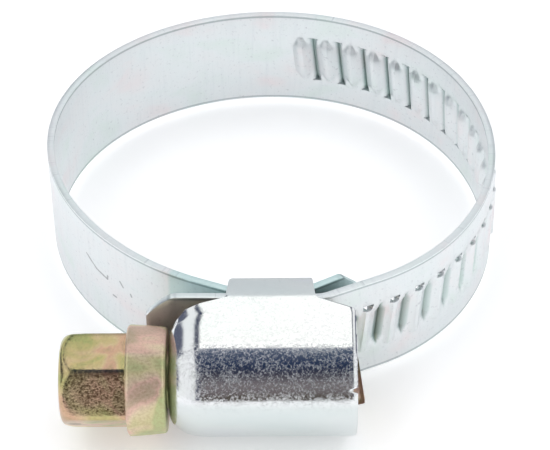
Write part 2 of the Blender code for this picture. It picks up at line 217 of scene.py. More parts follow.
class Nodes:
    """A node tree with short calls for what the finishes and the surroundings share."""

    def __init__(self, tree):
        self.tree = tree

    def add(self, kind, **values):
        node = self.tree.nodes.new(kind)
        for key, value in values.items():
            setattr(node, key, value)
        return node

    def link(self, source, target):
        self.tree.links.new(source, target)

    def fill(self, socket, value):
        """Links a node's output to the socket, or sets a colour or a number on it."""
        if isinstance(value, bpy.types.NodeSocket):
            self.link(value, socket)
        elif isinstance(value, tuple):
            socket.default_value = (*value, 1)
        else:
            socket.default_value = value

    def axes(self, vector):
        node = self.add("ShaderNodeSeparateXYZ")
        self.link(vector, node.inputs[0])
        return tuple(node.outputs)

    def stretched(self, vector, scale):
        node = self.add("ShaderNodeVectorMath", operation="MULTIPLY")
        self.link(vector, node.inputs[0])
        node.inputs[1].default_value = scale
        return node.outputs[0]

    def noise(self, vector, scale, detail=3.0, rough=0.55, distortion=0.0):
        node = self.add("ShaderNodeTexNoise")
        self.link(vector, node.inputs["Vector"])
        node.inputs["Scale"].default_value = scale
        node.inputs["Detail"].default_value = detail
        node.inputs["Roughness"].default_value = rough
        node.inputs["Distortion"].default_value = distortion
        return node.outputs["Fac"]

    def ramp(self, value, stops):
        node = self.add("ShaderNodeValToRGB")
        self.link(value, node.inputs[0])
        elements = node.color_ramp.elements
        while len(elements) < len(stops):
            elements.new(0.5)
        for element, (place, colour) in zip(elements, stops):
            element.position = place
            element.color = (*colour, 1)
        return node.outputs["Color"]

    def range(self, value, low, high, to_low=0.0, to_high=1.0):
        node = self.add("ShaderNodeMapRange")
        self.link(value, node.inputs["Value"])
        node.inputs["From Min"].default_value = low
        node.inputs["From Max"].default_value = high
        node.inputs["To Min"].default_value = to_low
        node.inputs["To Max"].default_value = to_high
        return node.outputs["Result"]

    def mix(self, share, first, second, blend="MIX"):
        node = self.add("ShaderNodeMix", data_type="RGBA", blend_type=blend)
        self.fill(node.inputs[0], share)
        self.fill(node.inputs[6], first)
        self.fill(node.inputs[7], second)
        return node.outputs[2]

    def shaded(self, colour, shade):
        """A colour multiplied by another."""
        return self.mix(1.0, colour, shade, "MULTIPLY")

    def math(self, operation, first, second=0.0):
        node = self.add("ShaderNodeMath", operation=operation)
        self.fill(node.inputs[0], first)
        self.fill(node.inputs[1], second)
        return node.outputs[0]


class Finish(Nodes):
    """A material's nodes."""

    def __init__(self, name):
        self.material = bpy.data.materials.new(name)
        self.material.use_nodes = True
        super().__init__(self.material.node_tree)
        self.shader = self.tree.nodes["Principled BSDF"]

    def set(self, socket, value):
        self.fill(self.shader.inputs[socket], value)

    def strip(self):
        """The place on the band: along it and across it in mm, and the rise of the surface, which sets
        the painted shade in the hollows.
        """
        node = self.add("ShaderNodeAttribute", attribute_name="strip")
        return node.outputs["Vector"]

    def place(self):
        return self.add("ShaderNodeTexCoord").outputs["Object"]

    def scratch(self, strip, start, end, noise):
        """A mask along a short line on the strip, ragged at its edges."""
        (s1, z1), (s2, z2) = start, end
        length = sqrt((s2 - s1) ** 2 + (z2 - z1) ** 2)
        along = ((s2 - s1) / length, (z2 - z1) / length, 0)
        across = (-along[1], along[0], 0)
        moved = self.add("ShaderNodeVectorMath", operation="SUBTRACT")
        self.link(strip, moved.inputs[0])
        moved.inputs[1].default_value = ((s1 + s2) / 2, (z1 + z2) / 2, 0)
        gaps = []
        for way, reach in ((along, length / 2), (across, 0.0)):
            dot = self.add("ShaderNodeVectorMath", operation="DOT_PRODUCT")
            self.link(moved.outputs[0], dot.inputs[0])
            dot.inputs[1].default_value = way
            size = self.math("ABSOLUTE", dot.outputs["Value"])
            gaps.append(self.math("MAXIMUM", self.math("SUBTRACT", size, reach), 0.0))
        away = self.math("ADD", gaps[0], gaps[1])
        ragged = self.math("ADD", away, self.math("MULTIPLY", noise, SCRATCH_RAGGED))
        return self.range(ragged, SCRATCH_CORE, SCRATCH_EDGE, SCRATCH_SHARE, 0.0)

    def bump(self, height, strength, distance):
        node = self.add("ShaderNodeBump")
        node.inputs["Strength"].default_value = strength
        node.inputs["Distance"].default_value = distance
        self.link(height, node.inputs["Height"])
        self.link(node.outputs[0], self.shader.inputs["Normal"])


BUMP_DISTANCE = 0.04 * MM

SCRATCHES = (  # where each begins and ends: along the strip and up from its middle, in mm
    ((25.3, 1.3), (23.9, 0.55)),
    ((23.9, 0.55), (22.5, 0.35)),
    ((22.5, 0.35), (22.45, 0.75)),
    ((20.95, 1.05), (20.6, 0.6)),
    ((19.8, 0.35), (19.7, 0.1)),
    ((21.9, -1.0), (21.5, -1.0)),
)


SCRATCH_CORE = 0.13
SCRATCH_EDGE = 0.21
SCRATCH_RAGGED = 0.16
SCRATCH_SHARE = 0.8
SCRATCH_COLOUR = (0.33, 0.34, 0.35)
SPECK_COLOUR = (0.45, 0.47, 0.50)
# The dark line painted along the band's edges as the shade of the rolled rim.
RIM_PAINTED_SHADE = (0.6, 0.63, 0.64)
# The teal painted reflection of the housing's dark inside, on the band near where it leaves the housing.
EXIT_REFLECTION_TINT = (0.74, 0.93, 0.91)
EXIT_START = 15.6  # along the strip in mm: where the band leaves the housing on the left
EXIT_END = 15.95


def band_finish():
    """Bright zinc with a bluish tint, faint drawn lines along the width and small specks."""
    n = Finish("band bright zinc")
    strip = n.strip()
    along, across, rise = n.axes(strip)
    streaks = n.noise(n.stretched(strip, (2.2, 0.16, 1)), 1.0, 4)
    cloud = n.noise(n.stretched(strip, (0.16, 0.28, 1)), 1.0, 3, 0.5, 0.4)
    tint = n.ramp(
        cloud,
        [
            (0.30, (0.71, 0.78, 0.76)),
            (0.45, (0.76, 0.80, 0.81)),
            (0.58, (0.78, 0.80, 0.81)),
            (0.72, (0.81, 0.77, 0.78)),
        ],
    )
    drawn_lines = n.ramp(
        streaks,
        [
            (0.28, (0.955, 0.96, 0.965)),
            (0.5, (1, 1, 1)),
            (0.75, (0.975, 0.98, 0.98)),
        ],
    )
    colour = n.shaded(tint, drawn_lines)
    specks = n.noise(n.stretched(strip, (3.4, 3.4, 3.4)), 1.0, 3)
    colour = n.mix(n.range(specks, 0.60, 0.74, 0.0, 0.5), colour, SPECK_COLOUR)
    for start, end in SCRATCHES:
        colour = n.mix(n.scratch(strip, start, end, streaks), colour, SCRATCH_COLOUR)
    # Along both edges: a painted shade line, and outside it a painted highlight on the rolled rim.
    rim = n.ramp(
        n.math("DIVIDE", n.math("ABSOLUTE", across), 5.0),
        [
            (0.868, (1, 1, 1)),
            (0.886, RIM_PAINTED_SHADE),
            (0.904, RIM_PAINTED_SHADE),
            (0.92, (1.18, 1.18, 1.17)),
        ],
    )
    colour = n.shaded(colour, rim)
    # Painted shade in the hollows: the deeper a point lies in a pocket or behind a ridge, seen from its
    # own side, the darker it is painted.
    hollow_painted_shade = n.ramp(
        rise,
        [
            (0.04, (1, 1, 1)),
            (0.14, (0.80, 0.86, 0.84)),
            (0.36, (0.58, 0.67, 0.64)),
            (0.85, (0.20, 0.25, 0.22)),
        ],
    )
    colour = n.shaded(colour, hollow_painted_shade)
    # Painted reflection: a teal tint on the band next to the housing's left exit.
    exit_reflection_share = n.range(along, EXIT_START, EXIT_END, 0.8, 0.0)
    colour = n.mix(exit_reflection_share, colour, n.shaded(colour, EXIT_REFLECTION_TINT))
    n.set("Base Color", colour)
    n.set("Metallic", 0.85)
    n.set("Roughness", n.range(cloud, 0.3, 0.7, 0.30, 0.42))
    fine = n.noise(n.stretched(strip, (9, 1.6, 4)), 1.0, 3)
    n.bump(fine, 0.35, BUMP_DISTANCE)
    return n.material


FLAT_END_Y = -24.6 * MM
HUMP_START_Y = -25.1 * MM
TAB_END_Y = -20.8 * MM
TAB_START_Y = -20.3 * MM
# The painted reflection of the shaded floor on the housing's lower part: where it begins, where it is
# full, and its tint.
LOW_REFLECTION_START_Z = 1.5 * MM
LOW_REFLECTION_FULL_Z = 1.0 * MM
LOW_REFLECTION_TINT = (0.86, 0.89, 0.88)
CLUSTERING = 0.24


def housing_finish():
    """Zinc over a sheet that the forming has roughened: crumpled flecks over a bluish ground."""
    n = Finish("housing bright zinc")
    place = n.place()
    _, y, z = n.axes(place)
    flecks = n.noise(place, 5200, 5, 0.7, 1.2)
    swell = n.noise(place, 420, 3, 0.5)
    clusters = n.noise(n.stretched(place, (700, 1500, 1500)), 1.0, 2, 0.5, 0.8)
    off_average = n.math("SUBTRACT", clusters, 0.5)
    gathered = n.math("ADD", flecks, n.math("MULTIPLY", off_average, CLUSTERING))
    crumpled = n.range(gathered, 0.52, 0.64)
    cloud = n.noise(n.stretched(place, (90, 260, 260)), 1.0, 3)
    tint = n.ramp(
        cloud,
        [
            (0.3, (0.73, 0.77, 0.77)),
            (0.5, (0.77, 0.79, 0.79)),
            (0.7, (0.76, 0.76, 0.79)),
        ],
    )
    # Painted reflection: below 1.5 mm over the screw's axis the housing is painted darker, fully so
    # below 1 mm.
    n.set("Base Color", n.mix(n.range(z, LOW_REFLECTION_START_Z, LOW_REFLECTION_FULL_Z), tint, n.shaded(tint, LOW_REFLECTION_TINT)))
    n.set("Metallic", 1.0)
    n.set("Roughness", n.range(flecks, 0.35, 0.65, 0.06, 0.20))
    formed = n.range(y, FLAT_END_Y, HUMP_START_Y, 0.012, 0.10)
    formed = n.math("ADD", formed, n.range(y, TAB_END_Y, TAB_START_Y, 0.0, 0.05))
    rolling = n.range(y, FLAT_END_Y, HUMP_START_Y, 0.15, 0.8)
    rough = n.math("MULTIPLY", crumpled, formed)
    n.bump(n.math("ADD", rough, n.math("MULTIPLY", swell, rolling)), 1.0, BUMP_DISTANCE)
    return n.material


NICK = (-15.3 * MM, -26.92 * MM, -2.0 * MM)
NICK_CORE = 0.7 * MM
NICK_EDGE = 0.85 * MM
NICK_RAGGED = 0.5 * MM
NICK_COLOUR = (0.22, 0.10, 0.03)
THICK_FILM = (0.36, 0.24, 0.13)
# The painted reflection on the hexagon head's upper part: its tint here, and further down the heights
# over which it fades in.
HEAD_REFLECTION_TINT = (0.80, 0.78, 0.66)
HEAD_LAST_X = -11.3 * MM
HEAD_PAST_X = -11.2 * MM
COLLAR_FIRST_X = -11.1 * MM
HEAD_REFLECTION_LOW_Z = -1.8 * MM
HEAD_REFLECTION_FULL_Z = -1.0 * MM


def screw_finish():
    """Yellow chromate: a gold film that runs to pink and green, brown and speckled where thick."""
    n = Finish("screw yellow passivation")
    place = n.place()
    x, _, z = n.axes(place)
    patches = n.noise(place, 300, 2, 0.45, 0.5)
    tint = n.ramp(
        patches,
        [
            (0.37, (0.50, 0.54, 0.27)),
            (0.45, (0.66, 0.59, 0.34)),
            (0.51, (0.76, 0.62, 0.44)),
            (0.57, (0.76, 0.51, 0.42)),
            (0.66, (0.55, 0.43, 0.31)),
        ],
    )
    speckle = n.noise(place, 4800, 4, 0.7)
    colour = n.mix(n.range(speckle, 0.40, 0.56, 0.30, 0.0), tint, THICK_FILM)
    nick = n.add("ShaderNodeVectorMath", operation="DISTANCE")
    n.link(place, nick.inputs[0])
    nick.inputs[1].default_value = NICK
    ragged = n.math("ADD", nick.outputs["Value"], n.math("MULTIPLY", speckle, NICK_RAGGED))
    colour = n.mix(n.range(ragged, NICK_CORE, NICK_EDGE, 0.85, 0.0), colour, NICK_COLOUR)
    on_head = n.range(x, HEAD_LAST_X, HEAD_PAST_X, 1.0, 0.0)
    # Painted reflection: the head's upper part, above 1 mm below the axis, is painted darker and
    # yellower.
    upper = n.math("MULTIPLY", n.range(z, HEAD_REFLECTION_LOW_Z, HEAD_REFLECTION_FULL_Z), on_head)
    n.set("Base Color", n.mix(upper, colour, n.shaded(colour, HEAD_REFLECTION_TINT)))
    n.set("Metallic", n.range(x, HEAD_LAST_X, COLLAR_FIRST_X, 1.0, 0.5))
    fine_gloss = n.range(speckle, 0.35, 0.65, 0.12, 0.26)
    duller = n.range(x, HEAD_LAST_X, COLLAR_FIRST_X, 0.0, 0.17)
    n.set("Roughness", n.math("ADD", fine_gloss, duller))
    raised = n.math("MULTIPLY", n.range(speckle, 0.46, 0.66), 0.10)
    swell = n.math("MULTIPLY", n.noise(place, 520, 3, 0.5), 0.9)
    n.bump(n.math("ADD", raised, swell), 1.0, BUMP_DISTANCE)
    return n.material


# ---------------------------------------------------------------- the band

RIDGE = 0.4 * MM
POCKET = 0.5 * MM
SLOT_HALF = 2.32 * MM
POCKET_TAPER = 1.0 * MM
POCKET_REACH = 0.3
RIDGE_REACH = 0.2
RIDGE_THINNING = 0.45
OPENING_REACH = (0.17, 0.09)  # half the sheared triangle's width, in pitches, row by row from its base
SLOT_ROWS = (0.0, 0.65, 1.3, 1.5, 1.7, 1.9, 2.1, SLOT_HALF / MM)
RIM_ROWS = 5
STEPS_PER_PITCH = 12
PLAIN_STEP = 0.32 * MM
SLOTS_MARGIN = 1.5 * RIDGE_REACH * PITCH
# The painted reflection of the housing's dark end on the pockets' far facets: how much stronger it is,
# and over how many pitches it fades.
FACET_REFLECTION_EXTRA = 1.3
FACET_REFLECTION_REACH = 2.2
TONGUE_CHAMFER = 1.5 * MM
TAIL_TIP_LENGTH = 2.1 * MM
TAIL_TIP_CUT = 1.9 * MM
TAIL_TIP_STRAIGHT = 0.75
SLANT_LEAD = 2 * MM
SLANT_BEFORE = 0.6 * PITCH
SLANT_AFTER = 0.5 * PITCH
WELD_DISTANCE = 0.002 * MM
EDGE_BEVEL = 0.07 * MM
BEVEL_ANGLE = radians(50)
BAND_SHARP = 28  # degrees, as are the other sharp angles
BLEND_REACH = 4.6 * MM
ENTRY_BLEND_REACH = 1.3 * MM
TAIL_BLEND_REACH = 1.2 * MM


def lift(share, z):
    """The height at a share of the pitch from a pocket's middle: a pointed pocket, then a ridge."""
    share = share % 1
    from_pocket = min(share, 1 - share)
    from_ridge = abs(share - 0.5)
    if from_ridge < RIDGE_REACH:
        return RIDGE * cos(pi / 2 * from_ridge / RIDGE_REACH) ** 2
    closing = max(0, min(1, (SLOT_HALF - abs(z)) / POCKET_TAPER))
    if closing * POCKET_REACH <= from_pocket:
        return 0
    return -POCKET * sqrt(closing) * (1 - from_pocket / (closing * POCKET_REACH))


def facet_reflection_gain(line, distance):
    """How much darker a pocket's far facet is painted, most of all at the housing: a painted reflection
    of the housing's dark end.
    """
    past_middle = (distance - line.entry) / PITCH % 1 < 0.5
    away = (line.entry - distance) / PITCH
    return 1 if past_middle else 1 + FACET_REFLECTION_EXTRA * exp(-((max(0, away - 1) / FACET_REFLECTION_REACH) ** 2))


def half_width(line, distance):
    """Half the band's width: full, but chamfered at the tongue's tip and pointed at the tail's."""
    half = BAND_WIDTH / 2
    if distance < TONGUE_CHAMFER:
        half -= TONGUE_CHAMFER - distance
    tail = line.total - distance
    if tail < TAIL_TIP_LENGTH:
        share = 1 - tail / TAIL_TIP_LENGTH
        half -= TAIL_TIP_CUT * (TAIL_TIP_STRAIGHT * share + (1 - TAIL_TIP_STRAIGHT) * share**3)
    return half


def band_columns(line):
    """Every cross-section's distance from the tongue's tip, and whether it is a slotted one."""
    first = line.pocket(LAST_POCKET) - SLOTS_MARGIN
    last = line.pocket(FIRST_POCKET) + SLOTS_MARGIN
    lead = int(first / PLAIN_STEP)
    slotted = round((last - first) / PITCH * STEPS_PER_PITCH)
    trail = int((line.total - last) / PLAIN_STEP)
    columns = [(first * k / lead, False) for k in range(lead)]
    columns += [(first + (last - first) * k / slotted, True) for k in range(slotted + 1)]
    columns += [(last + (line.total - last) * k / trail, False) for k in range(1, trail + 1)]
    return columns


def band_rows():
    """The heights across the full width in mm, and whether the pockets and ridges reach them."""
    rim = (BAND_WIDTH / 2 - SLOT_HALF) / MM
    outer = [SLOT_HALF / MM + rim * k / RIM_ROWS for k in range(RIM_ROWS + 1)]
    rows = [(False, -z) for z in reversed(outer)]
    rows += [(True, -z) for z in reversed(SLOT_ROWS[1:])]
    rows += [(True, z) for z in SLOT_ROWS]
    return rows + [(False, z) for z in outer]


def band_sheet(line):
    """The band's middle surface as an open sheet, with doubled rows where the slots end."""
    mesh = bmesh.new()
    strip = mesh.verts.layers.float_vector.new("strip")
    heavy = mesh.verts.layers.deform.verify()
    slot_rows = 2 * len(SLOT_ROWS) - 1
    first_slotted = line.pocket(LAST_POCKET)
    last_slotted = line.pocket(FIRST_POCKET)

    def opened(before, after, step):
        """Whether the face lies in the sheared triangle at a ridge's upper end."""
        from_end = slot_rows - 2 - step
        place = (before[0][strip].x + after[0][strip].x) / 2 * MM
        if not 0 <= from_end < len(OPENING_REACH) or not first_slotted < place < last_slotted:
            return False
        return abs((place - line.entry) / PITCH % 1 - 0.5) < OPENING_REACH[from_end]

    rows = []
    for distance, slotted in band_columns(line):
        half = half_width(line, distance)
        row = []
        for waved, z_mm in band_rows():
            z = z_mm * MM * half / (BAND_WIDTH / 2)
            place = distance - z * tan(TOOTH_SLANT) * slant_share(line, distance, z)
            point, outward = line.at(max(0, min(line.total, place)))
            height = lift((distance - line.entry) / PITCH, z) if waved and slotted else 0
            vertex_at = point + outward * height
            vertex = mesh.verts.new((vertex_at.x, vertex_at.y, z))
            # The rise is made larger on the pockets' far facets, for their painted reflection.
            vertex[strip] = (distance / MM, z / MM, height / MM * facet_reflection_gain(line, distance))
            vertex[heavy][0] = 1 - (1 - RIDGE_THINNING) * max(0, height) / RIDGE
            row.append(vertex)
        rows.append(row)
    for before, after in zip(rows, rows[1:]):
        for j in range(len(before) - 1):
            if j in (RIM_ROWS, RIM_ROWS + slot_rows) or opened(before, after, j - RIM_ROWS - 1):
                continue
            mesh.faces.new((before[j], after[j], after[j + 1], before[j + 1]))
    bmesh.ops.remove_doubles(mesh, verts=mesh.verts, dist=WELD_DISTANCE)
    bmesh.ops.recalc_face_normals(mesh, faces=mesh.faces)
    return mesh


def slant_share(line, distance, z):
    """Sections lean with the thread over the slotted length and stand upright at the band's ends."""
    start = line.pocket(LAST_POCKET) - SLANT_BEFORE
    end = line.pocket(FIRST_POCKET) + SLANT_AFTER
    lead = min(1, max(0, (distance - start + SLANT_LEAD) / SLANT_LEAD))
    trail = min(1, max(0, (end + SLANT_LEAD - distance) / SLANT_LEAD))
    rim = max(0, min(1, (BAND_WIDTH / 2 - abs(z)) / (BAND_WIDTH / 2 - SLOT_HALF)))
    return lead * trail * rim


def applied(obj, name):
    """A mesh with the object's modifiers in it. The object itself is removed."""
    graph = bpy.context.evaluated_depsgraph_get()
    mesh = bpy.data.meshes.new_from_object(
        obj.evaluated_get(graph), preserve_all_data_layers=True, depsgraph=graph
    )
    mesh.name = name
    bpy.data.objects.remove(obj, do_unlink=True)
    return mesh


def placed(name, data):
    obj = bpy.data.objects.new(name, data)
    bpy.context.scene.collection.objects.link(obj)
    return obj


def object_from(name, mesh_data, material, sharp):
    """An object from a bmesh, smooth except at edges sharper than the angle."""
    mesh = bpy.data.meshes.new(name)
    mesh_data.to_mesh(mesh)
    mesh_data.free()
    mesh.materials.append(material)
    obj = placed(name, mesh)
    mesh.shade_smooth()
    mesh.set_sharp_from_angle(angle=radians(sharp))
    return obj


def thicken(obj, thickness, offset, bevel, segments, group=""):
    """Gives a sheet its thickness and breaks its edges."""
    solid = obj.modifiers.new("thickness", "SOLIDIFY")
    solid.thickness = thickness
    solid.offset = offset
    solid.use_even_offset = False
    solid.use_rim = True
    solid.vertex_group = group
    edge = obj.modifiers.new("edges", "BEVEL")
    edge.width = bevel
    edge.segments = segments
    edge.limit_method = "ANGLE"
    edge.angle_limit = BEVEL_ANGLE
    edge.use_clamp_overlap = True
    bpy.context.view_layer.update()


def band_whole(line, material):
    """The whole band's mesh, from the tongue's tip to the tail's."""
    sheet = object_from("band_sheet", band_sheet(line), material, BAND_SHARP)
    sheet.vertex_groups.new(name="thickness")
    thicken(sheet, BAND_THICKNESS, 0, EDGE_BEVEL, 2, "thickness")
    return applied(sheet, "band_whole")


def strip_places(whole):
    """Each vertex's place on the strip, with the rise counted inward on the outer side, so that the
    painted shade falls in the hollows of either side.
    """
    places = []
    for item, vertex in zip(whole.attributes["strip"].data, whole.vertices):
        distance, height, rise = item.vector
        outside = vertex.normal.x * vertex.co.x + vertex.normal.y * vertex.co.y > 0
        places.append((distance, height, -rise if outside else rise))
    return places


def shared_out(whole, cuts):
    """The whole band's faces in one list for each stretch between two cuts."""
    along = [item.vector[0] * MM for item in whole.attributes["strip"].data]
    stretches = [[] for _ in cuts[1:]]
    for polygon in whole.polygons:
        centre = sum(along[v] for v in polygon.vertices) / len(polygon.vertices)
        index = 0
        while index < len(stretches) - 1 and centre > cuts[index + 1]:
            index += 1
        stretches[index].append(polygon)
    return stretches


def cut_out(name, whole, polygons, strip, normals, material):
    """One piece of the whole band, with the whole's normals, so the cuts don't show."""
    used = sorted({v for polygon in polygons for v in polygon.vertices})
    new_index = {v: k for k, v in enumerate(used)}
    mesh = bpy.data.meshes.new(name)
    mesh.from_pydata(
        [whole.vertices[v].co[:] for v in used],
        [],
        [[new_index[v] for v in polygon.vertices] for polygon in polygons],
    )
    layer = mesh.attributes.new("strip", "FLOAT_VECTOR", "POINT")
    for k, v in enumerate(used):
        layer.data[k].vector = strip[v]
    mesh.shade_smooth()
    mesh.materials.append(material)
    obj = placed(name, mesh)
    mesh.normals_split_custom_set(
        [normals[loop] for polygon in polygons for loop in polygon.loop_indices]
    )
    return obj


def band_pieces(line, material):
    """The band, made whole and then cut halfway between the hinge places, so that each piece holds one.
    """
    whole = band_whole(line, material)
    hinges = hinge_places(line)
    names = ["band_plain_end"] + [f"band_link_{k:02d}" for k in range(1, 10)] + ["band_tail"]
    cuts = [0] + [(a + b) / 2 for a, b in zip(hinges, hinges[1:])] + [line.total]
    normals = [tuple(n.vector) for n in whole.corner_normals]
    strip = strip_places(whole)
    reaches = [BLEND_REACH] * (len(hinges) - 2) + [ENTRY_BLEND_REACH, TAIL_BLEND_REACH]
    for index, polygons in enumerate(shared_out(whole, cuts)):
        obj = cut_out(f"band_{index + 1:02d}", whole, polygons, strip, normals, material)
        start, _ = line.at(hinges[index] - reaches[index])
        end, _ = line.at(hinges[index] + reaches[index])
        if index == 0:
            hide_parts(names[0], names[1])
        else:
            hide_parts(names[index + 1])
        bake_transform(obj)
    bpy.data.meshes.remove(whole)


# ---------------------------------------------------------------- the screw

SCREW_EDGE_STEPS = 5
HEX_ROUNDING = 1.13  # the rounded corners' radius over that of the flats
HEX_SOFTNESS = 0.05 * MM
HEAD_ROUND_LENGTH = 1.6 * MM
HEAD_ROUND_DEPTH = 1.0 * MM
HEAD_ROUND_SLOPE = 0.12 * MM
HEAD_ROUND_STEPS = 14
HEAD_FLAT_RADIUS = HEX_ACROSS_FLATS / 2 - 0.55 * MM
HEAD_FLAT_SHARE = 0.9
HEAD_FLAT_RISE = 0.04 * MM
HEAD_OVERLAP = 0.02 * MM
HEAD_STRAIGHT_STEPS = 10
WORM_STEPS = 100
WORM_START_DROP = 0.3 * MM
WORM_END_DROP = 0.35 * MM
WORM_LEAD_IN = 1.0 * MM
CREST_HALF = 0.28 * MM
ROOT_START = 0.72 * MM
END_STEP_ANGLE = 10  # degrees, as is the turn over which the step falls away
END_STEP_TURN = 90
END_STEP_PER_DEGREE = 0.0095 * MM
END_STEP_TOP = 0.05 * MM


def lathe(name, stations, sides, material, sharp):
    """A body turned about the screw's axis from (x, radius of angle) stations, closed at both ends."""
    mesh = bmesh.new()
    rows = []
    for x, radius in stations:
        row = []
        for side in range(sides):
            angle = HEX_TURN + 2 * pi * side / sides
            reach = radius(angle)
            row.append(mesh.verts.new((x, SCREW_Y + reach * cos(angle), reach * sin(angle))))
        rows.append(row)
    for before, after in zip(rows, rows[1:]):
        for side in range(sides):
            following = (side + 1) % sides
            mesh.faces.new((before[side], before[following], after[following], after[side]))
    mesh.faces.new(rows[0])
    mesh.faces.new(rows[-1])
    bmesh.ops.recalc_face_normals(mesh, faces=mesh.faces)
    return object_from(name, mesh, material, sharp)


def hex_radius(angle):
    """A hexagon whose corners are rounded a little."""
    from_face = (angle - HEX_TURN + pi / 6) % (pi / 3) - pi / 6
    flat = HEX_ACROSS_FLATS / 2 / cos(from_face)
    return smooth_least(flat, HEX_ACROSS_FLATS / 2 * HEX_ROUNDING, HEX_SOFTNESS)


def head_stations():
    """The hexagon from its rounded end to the collar."""
    stations = [(HEAD_END_X, lambda angle: HEAD_FLAT_RADIUS * HEAD_FLAT_SHARE)]
    for step in range(1, HEAD_ROUND_STEPS + 1):
        share = step / HEAD_ROUND_STEPS
        turn = share * pi / 2
        x = HEAD_END_X + HEAD_FLAT_RISE + HEAD_ROUND_LENGTH * (1 - cos(turn))
        grown = HEAD_FLAT_RADIUS + HEAD_ROUND_DEPTH * sin(turn) + HEAD_ROUND_SLOPE * share
        stations.append((x, lambda angle, grown=grown: smooth_least(hex_radius(angle), grown)))
    start = stations[-1][0]
    length = COLLAR_X + HEAD_OVERLAP - start
    for number in range(1, HEAD_STRAIGHT_STEPS + 1):
        stations.append((start + length * number / HEAD_STRAIGHT_STEPS, hex_radius))
    return stations


def smooth_least(first, second, softness=0.12 * MM):
    """The smaller of the two, with the change between them rounded off."""
    gap = first - second
    return 0.5 * (first + second - sqrt(gap * gap + softness * softness))


def collar_stations():
    """The slightly conical collar with its rounded edges, and the neck behind it."""
    wide, narrow = COLLAR_RADIUS + COLLAR_TAPER, COLLAR_RADIUS - COLLAR_TAPER
    stations = [(COLLAR_X, lambda angle: COLLAR_RADIUS - COLLAR_EDGE)]
    for step in range(1, SCREW_EDGE_STEPS + 1):
        turn = pi / 2 * step / SCREW_EDGE_STEPS
        x, radius = COLLAR_X + COLLAR_EDGE * (1 - cos(turn)), wide - COLLAR_EDGE * (1 - sin(turn))
        stations.append((x, lambda angle, radius=radius: radius))
    stations.append(((COLLAR_X + COLLAR_END_X) / 2, lambda angle: COLLAR_RADIUS + COLLAR_CROWN))
    for step in range(SCREW_EDGE_STEPS + 1):
        turn = pi / 2 * step / SCREW_EDGE_STEPS
        x, radius = COLLAR_END_X - COLLAR_EDGE * (1 - sin(turn)), narrow - COLLAR_EDGE * (1 - cos(turn))
        stations.append((x, lambda angle, radius=radius: radius))
    stations.append((COLLAR_END_X, lambda angle: NECK_RADIUS))
    stations.append((WORM_X, lambda angle: NECK_RADIUS))
    return stations


def thread_radius(x, angle):
    """The worm's right-hand thread, with its crest in the band's pockets."""
    turns = (x - SLOTTED_ENTRY.x) / PITCH - angle / (2 * pi)
    off_crest = abs(turns - round(turns)) * PITCH
    share = min(1, max(0, (off_crest - CREST_HALF) / (ROOT_START - CREST_HALF)))
    share = share * share * (3 - 2 * share)
    depth = (WORM_RADIUS - WORM_ROOT_RADIUS) * share
    lead_in = min(1, max(0, (x - WORM_X) / WORM_LEAD_IN))
    return (WORM_RADIUS - depth) * lead_in + WORM_ROOT_RADIUS * (1 - lead_in)


def worm_stations():
    stations = [(WORM_X, lambda angle: WORM_ROOT_RADIUS - WORM_START_DROP)]
    for number in range(1, WORM_STEPS):
        x = WORM_X + (WORM_END_X - WORM_X) * number / WORM_STEPS
        stations.append((x, lambda angle, x=x: thread_radius(x, angle)))
    stations.append((WORM_END_X, lambda angle: WORM_ROOT_RADIUS - WORM_END_DROP))
    return stations


def worm_end(place):
    """The end is a step of the thread: it rises along the helix and drops back after one turn."""
    around = degrees(atan2(place.z, SCREW_Y - place.y)) - END_STEP_ANGLE
    return WORM_END_X - END_STEP_TOP - END_STEP_PER_DEGREE * min(around % 360, END_STEP_TURN)


def screw_pieces(material):
    """The screw in three turned bodies that ride together: head, collar with neck, and worm."""
    head = lathe("screw_head", head_stations(), 240, material, 30)
    collar = lathe("screw_collar", collar_stations(), 96, material, 40)
    worm = lathe("screw_worm", worm_stations(), 96, material, 50)
    for vertex in worm.data.vertices:
        vertex.co.x = min(vertex.co.x, worm_end(vertex.co))
    for piece in (head, collar, worm):
        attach(piece, "screw")
    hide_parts("screw")


# ---------------------------------------------------------------- the housing

SECTION_FOLD_RADIUS = 0.75 * MM
END_ROUND = 1.95 * MM
END_LENGTH = 2.95 * MM
END_SQUARENESS = 2.15
RIM_RADIUS = 0.7 * MM
RIM_TURN = radians(38)
RIM_STEPS = 5
NOTCH_DEPTH = 0.35 * MM
NOTCH_FROM = 54  # counted in section points
NOTCH_TO = 57
BASE_STEPS = 8
FOLD_STEPS = 8
SLOPE_START_RADIUS = 1.6 * MM
SLOPE_START_STEPS = 5
SLOPE_STEPS = 10
HUMP_STEPS = 40
LENGTH_STEPS = 26
END_STEPS = 12
TAB_NARROW = 2.75 * MM
TAB_CORNER_LENGTH = 0.75 * MM
TAB_CORNER_INSET = 0.2 * MM
TAB_RIGHT = 3.15 * MM
TAB_RIGHT_FLARE = 0.2 * MM
TAB_LEFT = 3.4 * MM
TAB_LEFT_FLARE = 0.25 * MM
SHOULDER_RIGHT_X = 3.35 * MM
SHOULDER_RIGHT_LENGTH = 1.1 * MM
SHOULDER_LEFT_X = -3.65 * MM
SHOULDER_LEFT_LENGTH = 2.5 * MM
SHOULDER_CONVEXITY = 2.2
SHOULDER_LEFT_START = 0.06
END_TURN_INSET = 0.5 * MM
END_TURN_LENGTH = 1.6 * MM
RIM_FADE_LENGTH = 1.2 * MM
HOUSING_BEVEL = 0.09 * MM
HOUSING_SHARP = 60


def tangent_angle():
    """Where the sloping sheet from the fold meets the hump, as an angle about the screw."""
    top, away = FOLD_HEIGHT, FOLD_FRONT_Y - SCREW_Y
    return pi / 2 + atan2(top, away) - asin(HUMP_RADIUS / sqrt(top * top + away * away))


